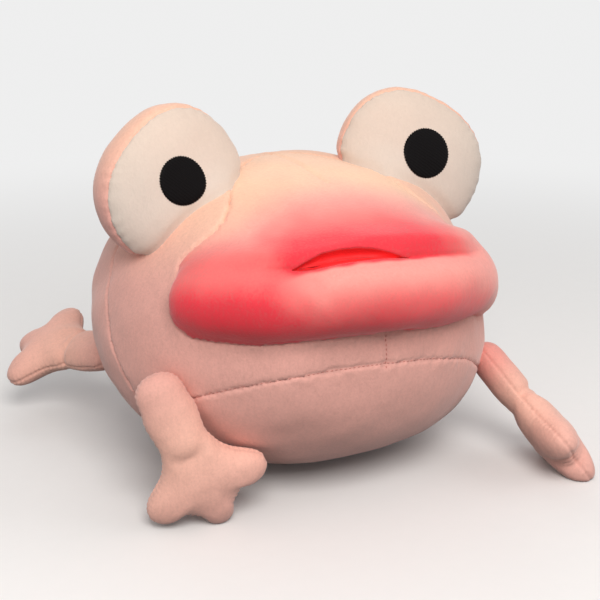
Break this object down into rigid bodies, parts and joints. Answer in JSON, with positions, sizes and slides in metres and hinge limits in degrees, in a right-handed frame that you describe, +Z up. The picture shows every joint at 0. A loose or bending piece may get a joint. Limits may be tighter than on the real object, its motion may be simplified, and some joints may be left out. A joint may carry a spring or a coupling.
{
  "type": "plush frog",
  "caption": "Round stuffed frog pillow in short pile plush, with a wide open mouth, disc eyes on top and small floppy limbs.",
  "frame": {"origin": "middle of the flat that the belly rests on", "axes": "+Z up, the face looks towards -Y, +X is the frog's left side"},
  "size_m": [0.4782, 0.4796, 0.3623],
  "materials": {
    "pink_plush": "short pile plush, peach pink",
    "lip_plush": "short pile plush, airbrushed coral",
    "mouth_satin": "smooth bright red cloth",
    "white_plush": "short pile plush, cream white",
    "black_thread": "dense black embroidery",
    "fibre": "loose white polyester fibre"
  },
  "bodies": {
    "body": {"belly_panel": "pink_plush", "head_top_panel_left": "pink_plush", "head_top_panel_right": "pink_plush", "cheek_panel_left": "pink_plush", "cheek_panel_right": "pink_plush", "back_panel_left": "pink_plush", "back_panel_right": "pink_plush", "body_filling": "fibre", "lip_cover": "lip_plush", "lip_filling": "fibre", "mouth_lining": "mouth_satin"},
    "eye_left": {"eye_front_left": "white_plush", "eye_back_left": "pink_plush", "eye_filling_left": "fibre", "pupil_left": "black_thread"},
    "eye_right": {"eye_front_right": "white_plush", "eye_back_right": "pink_plush", "eye_filling_right": "fibre", "pupil_right": "black_thread"},
    "front_right_thigh": {"front_right_thigh_outer_skin": "pink_plush", "front_right_thigh_inner_skin": "pink_plush", "front_right_thigh_filling": "fibre"},
    "front_right_foot": {"front_right_foot_outer_skin": "pink_plush", "front_right_foot_inner_skin": "pink_plush", "front_right_foot_filling": "fibre"},
    "front_left_thigh": {"front_left_thigh_outer_skin": "pink_plush", "front_left_thigh_inner_skin": "pink_plush", "front_left_thigh_filling": "fibre"},
    "front_left_foot": {"front_left_foot_outer_skin": "pink_plush", "front_left_foot_inner_skin": "pink_plush", "front_left_foot_filling": "fibre"},
    "rear_right_thigh": {"rear_right_thigh_outer_skin": "pink_plush", "rear_right_thigh_inner_skin": "pink_plush", "rear_right_thigh_filling": "fibre"},
    "rear_right_foot": {"rear_right_foot_outer_skin": "pink_plush", "rear_right_foot_inner_skin": "pink_plush", "rear_right_foot_filling": "fibre"},
    "rear_left_thigh": {"rear_left_thigh_outer_skin": "pink_plush", "rear_left_thigh_inner_skin": "pink_plush", "rear_left_thigh_filling": "fibre"},
    "rear_left_foot": {"rear_left_foot_outer_skin": "pink_plush", "rear_left_foot_inner_skin": "pink_plush", "rear_left_foot_filling": "fibre"}
  },
  "joints": [
    {"name": "front_right_root", "type": "hinge", "parent": "body", "child": "front_right_thigh", "pos_m": [-0.18417, -0.10739, 0.12898], "axis": [-0.8828, 0.2628, -0.3894], "range_deg": [0, 75], "stiffness_Nm_per_rad": 0.06},
    {"name": "front_right_knee", "type": "hinge", "parent": "front_right_thigh", "child": "front_right_foot", "pos_m": [-0.16886, -0.1227, 0.08392], "axis": [-0.8828, 0.2628, -0.3894], "range_deg": [-10, 40], "stiffness_Nm_per_rad": 0.05},
    {"name": "front_left_root", "type": "hinge", "parent": "body", "child": "front_left_thigh", "pos_m": [0.16759, -0.11377, 0.09991], "axis": [-0.5418, -0.7027, 0.4611], "range_deg": [-25, 75], "stiffness_Nm_per_rad": 0.06},
    {"name": "front_left_knee", "type": "hinge", "parent": "front_left_thigh", "child": "front_left_foot", "pos_m": [0.18342, -0.14771, 0.06678], "axis": [-0.5418, -0.7027, 0.4611], "range_deg": [-35, 40], "stiffness_Nm_per_rad": 0.05},
    {"name": "rear_right_root", "type": "hinge", "parent": "body", "child": "rear_right_thigh", "pos_m": [-0.15452, 0.12133, 0.08577], "axis": [0.7922, 0.4001, 0.4608], "range_deg": [-25, 70], "stiffness_Nm_per_rad": 0.06},
    {"name": "rear_right_knee", "type": "hinge", "parent": "rear_right_thigh", "child": "rear_right_foot", "pos_m": [-0.17211, 0.16715, 0.07623], "axis": [0.7922, 0.4001, 0.4608], "range_deg": [-35, 40], "stiffness_Nm_per_rad": 0.05},
    {"name": "rear_left_root", "type": "hinge", "parent": "body", "child": "rear_left_thigh", "pos_m": [0.15452, 0.12133, 0.08577], "axis": [0.7922, -0.4001, -0.4608], "range_deg": [-25, 70], "stiffness_Nm_per_rad": 0.06},
    {"name": "rear_left_knee", "type": "hinge", "parent": "rear_left_thigh", "child": "rear_left_foot", "pos_m": [0.17211, 0.16715, 0.07623], "axis": [0.7922, -0.4001, -0.4608], "range_deg": [-35, 40], "stiffness_Nm_per_rad": 0.05},
    {"name": "eye_left_rock", "type": "hinge", "parent": "body", "child": "eye_left", "pos_m": [0.1216, -0.02071, 0.27434], "axis": [0.8232, -0.2361, -0.5163], "range_deg": [-5, 5], "stiffness_Nm_per_rad": 0.5},
    {"name": "eye_right_rock", "type": "hinge", "parent": "body", "child": "eye_right", "pos_m": [-0.1216, -0.02071, 0.27434], "axis": [0.8232, 0.2361, 0.5163], "range_deg": [-5, 5], "stiffness_Nm_per_rad": 0.5}
  ]
}
